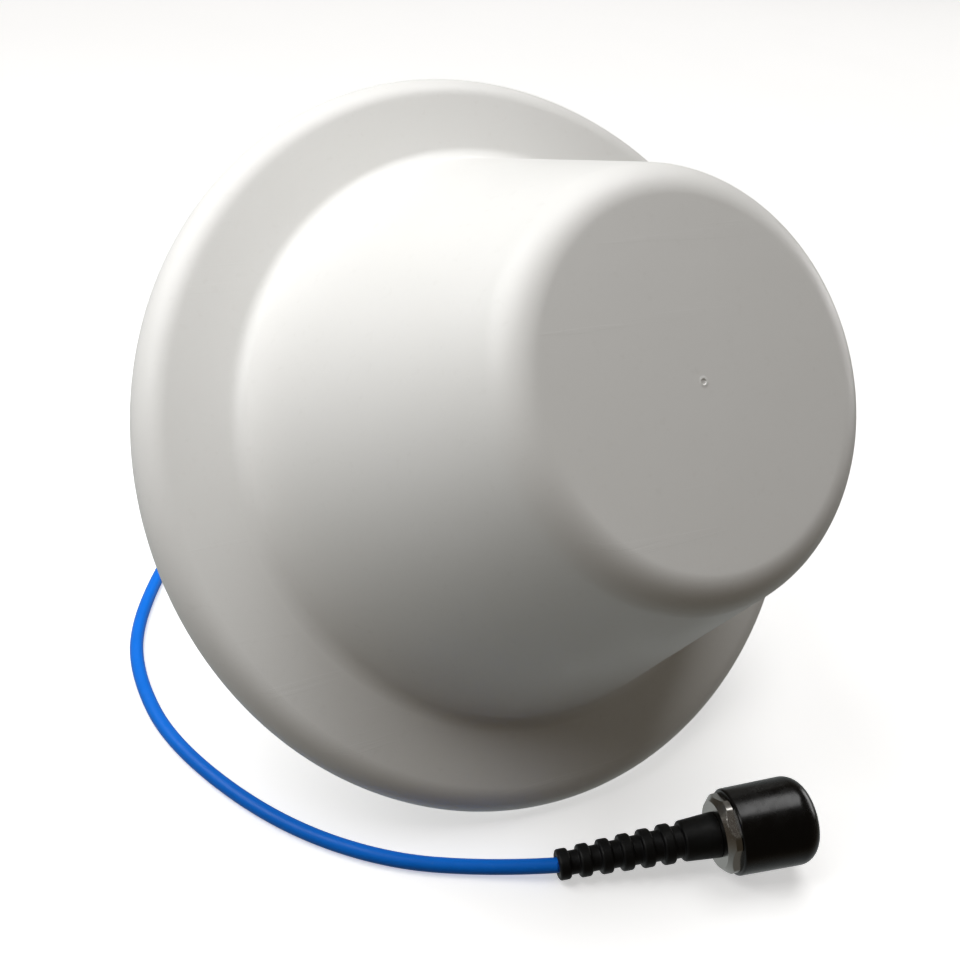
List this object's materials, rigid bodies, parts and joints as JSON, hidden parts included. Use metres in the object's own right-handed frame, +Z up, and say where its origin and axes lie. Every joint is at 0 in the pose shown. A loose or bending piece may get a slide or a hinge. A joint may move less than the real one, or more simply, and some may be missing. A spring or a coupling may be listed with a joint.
{
  "type": "indoor ceiling dome antenna",
  "caption": "Indoor ceiling dome antenna for a cellular repeater: white flanged radome, threaded stud with nut and washer, and a blue coaxial pigtail with a capped jack.",
  "frame": {"origin": "centre of the underside of the box of the antenna without its pigtail, on the table that its rim stands on", "axes": "+Z up from the table, the radome's closed end faces -Y and up, +X is to the right of someone facing the radome"},
  "size_m": [0.22, 0.2541, 0.1832],
  "materials": {
    "radome_plastic": "fine satin, moulded",
    "aluminium_sheet": "mill finish sheet",
    "stud_alloy": "satin, cut thread",
    "zinc_steel": "zinc plated",
    "stainless": "blanked and tumbled",
    "nylon": "natural nylon, moulded",
    "black_rubber": "matt",
    "blue_jacket": "smooth extruded jacket",
    "tinned_braid": "tin-soaked copper braid",
    "ptfe": "white, waxy",
    "silvered_wire": "silver plated",
    "brass": "machined",
    "nickel": "nickel plated, machined",
    "black_plastic": "glossy, moulded"
  },
  "bodies": {
    "antenna": {"radome": "radome_plastic", "ground_plane": "aluminium_sheet", "radome_screws": "zinc_steel", "mounting_stud": "stud_alloy", "stud_screws": "zinc_steel", "stud_nuts": "zinc_steel", "stud_grommet": "black_rubber", "feed_cable_jacket": "blue_jacket", "feed_cable_braid": "tinned_braid", "feed_cable_dielectric": "ptfe", "feed_conductor": "silvered_wire", "feed_ferrule": "brass", "feed_insulator": "ptfe", "radiator_cone": "aluminium_sheet", "radiator_disc": "aluminium_sheet", "shorting_posts": "aluminium_sheet", "post_screws": "zinc_steel", "disc_screws": "zinc_steel", "disc_rivets": "aluminium_sheet", "pigtail_cable": "blue_jacket", "bend_relief_boot": "black_rubber", "cable_end_jacket": "blue_jacket", "cable_end_dielectric": "ptfe", "cable_end_conductor": "silvered_wire", "crimp_ferrule": "nickel", "crimped_braid": "tinned_braid", "connector_body": "nickel", "contact_bead": "ptfe", "centre_contact": "brass"},
    "washer": {"mounting_washer": "stainless"},
    "nut": {"mounting_nut": "nylon"},
    "cap": {"dust_cap": "black_plastic"}
  },
  "joints": [
    {"name": "washer_slide", "type": "slide", "parent": "antenna", "child": "washer", "axis": [0, 0.7848, -0.6198], "range_m": [0, 0.0341]},
    {"name": "nut_turn", "type": "hinge", "parent": "washer", "child": "nut", "pos_m": [0, 0.02182, 0.08323], "axis": [0, 0.7848, -0.6198], "range_deg": [0, 6120]},
    {"name": "cap_pull", "type": "slide", "parent": "antenna", "child": "cap", "axis": [0.9465, -0.2876, 0.1461], "range_m": [0, 0.022]}
  ],
  "couplings": [
    {"joint": "washer_slide", "follows": "nut_turn", "m_per_rad": 0.00031831}
  ]
}
